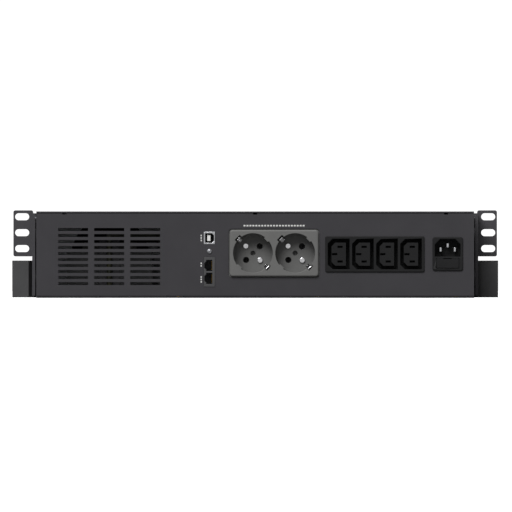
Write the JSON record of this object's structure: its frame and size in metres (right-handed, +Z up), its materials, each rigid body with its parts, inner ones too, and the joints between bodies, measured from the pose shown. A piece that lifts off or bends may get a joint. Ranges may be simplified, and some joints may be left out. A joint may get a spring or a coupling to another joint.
{
  "type": "rackmount ups",
  "caption": "Two-unit rackmount uninterruptible power supply with mixed rear mains outlets, slotted rack ears and a front battery drawer.",
  "frame": {"origin": "centre of the bottom face of the whole object's box, on the chassis floor", "axes": "+X across the width towards the vents' side, -Y out of the front bezel, +Y out of the rear panel, +Z up"},
  "size_m": [0.485, 0.3982, 0.0873],
  "materials": {
    "painted_steel": "fine textured powder coat, matte",
    "zinc_steel": "zinc plated sheet",
    "fastener_steel": "zinc plated screw",
    "bezel_abs": "fine moulded texture",
    "button_plastic": "satin",
    "window_acrylic": "smoked gloss",
    "lcd_glass": "satin glass",
    "circuit_board": "solder mask",
    "battery_case": "moulded ABS",
    "tinned_metal": "tinned",
    "lead_insulation": "PVC insulation",
    "connector_nylon": "nylon",
    "lamination_steel": "varnished laminations",
    "winding_tape": "polyester tape",
    "brass_standoff": "turned",
    "heatsink_aluminium": "extruded",
    "component_black": "moulded epoxy",
    "capacitor_sleeve": "heat-shrink sleeve",
    "choke_winding": "enamelled copper wire",
    "fan_plastic": "glass-filled PBT",
    "outlet_black": "moulded nylon",
    "outlet_grey": "moulded polycarbonate",
    "bright_rivet": "nickel plated",
    "fuse_glass": "clear tube",
    "port_shell": "tinned shell",
    "port_tongue": "white nylon",
    "jack_body": "moulded",
    "gold_contacts": "gold flash"
  },
  "bodies": {
    "chassis": {"chassis_tray": "painted_steel", "top_cover": "painted_steel", "rear_panel": "painted_steel", "front_plate": "painted_steel", "bay_divider": "zinc_steel", "ear_bracket_left": "painted_steel", "ear_bracket_right": "painted_steel", "ear_screws": "fastener_steel", "cover_screws": "fastener_steel", "front_bezel": "bezel_abs", "bezel_screws": "fastener_steel", "display_window": "window_acrylic", "lcd_panel": "lcd_glass", "display_board": "circuit_board", "bay_connector": "connector_nylon", "transformer_core": "lamination_steel", "transformer_coil": "winding_tape", "transformer_bracket": "painted_steel", "transformer_leads": "lead_insulation", "main_board": "circuit_board", "board_standoffs": "brass_standoff", "heatsinks": "heatsink_aluminium", "power_transistors": "component_black", "bulk_capacitors": "capacitor_sleeve", "relays": "component_black", "line_chokes": "choke_winding", "control_board": "circuit_board", "fan_frame": "fan_plastic", "fan_bracket": "zinc_steel", "mains_wiring": "lead_insulation", "c13_block": "outlet_black", "c13_contacts": "tinned_metal", "schuko_block": "outlet_grey", "schuko_earth_clips": "tinned_metal", "schuko_contacts": "tinned_metal", "schuko_screws": "bright_rivet", "inlet_body": "outlet_black", "inlet_pins": "tinned_metal", "usb_shell": "port_shell", "usb_tongue": "port_tongue", "surge_jack_body": "jack_body", "surge_jack_contacts": "gold_contacts", "comms_board": "circuit_board", "comms_screw": "fastener_steel"},
    "battery_drawer": {"drawer_front": "bezel_abs", "drawer_tray": "zinc_steel", "battery_left": "battery_case", "battery_right": "battery_case", "battery_terminals": "tinned_metal", "battery_leads": "lead_insulation", "drawer_connector": "connector_nylon"},
    "thumbscrew_left": {"thumbscrew_left": "fastener_steel"},
    "thumbscrew_right": {"thumbscrew_right": "fastener_steel"},
    "power_button": {"power_button": "button_plastic"},
    "select_button": {"select_button": "button_plastic"},
    "mute_button": {"mute_button": "button_plastic"},
    "fan_rotor": {"fan_rotor": "fan_plastic"},
    "fuse_drawer": {"fuse_drawer": "outlet_black", "fuse": "fuse_glass"}
  },
  "joints": [
    {"name": "drawer_slide", "type": "slide", "parent": "chassis", "child": "battery_drawer", "axis": [0, -1, 0], "range_m": [0, 0.175]},
    {"name": "thumbscrew_left_turn", "type": "hinge", "parent": "battery_drawer", "child": "thumbscrew_left", "pos_m": [-0.1967, -0.1979, 0.076], "axis": [0, 1, 0], "continuous": true},
    {"name": "thumbscrew_right_turn", "type": "hinge", "parent": "battery_drawer", "child": "thumbscrew_right", "pos_m": [-0.0153, -0.1979, 0.076], "axis": [0, 1, 0], "continuous": true},
    {"name": "power_button_press", "type": "slide", "parent": "chassis", "child": "power_button", "axis": [0, 1, 0], "range_m": [0, 0.0015], "stiffness_N_per_m": 400},
    {"name": "select_button_press", "type": "slide", "parent": "chassis", "child": "select_button", "axis": [0, 1, 0], "range_m": [0, 0.0015], "stiffness_N_per_m": 400},
    {"name": "mute_button_press", "type": "slide", "parent": "chassis", "child": "mute_button", "axis": [0, 1, 0], "range_m": [0, 0.0015], "stiffness_N_per_m": 400},
    {"name": "fan_spin", "type": "hinge", "parent": "chassis", "child": "fan_rotor", "pos_m": [0.1434, 0.0346, 0.0425], "axis": [0, 1, 0], "continuous": true},
    {"name": "fuse_drawer_slide", "type": "slide", "parent": "chassis", "child": "fuse_drawer", "axis": [0, 1, 0], "range_m": [0, 0.022]}
  ]
}
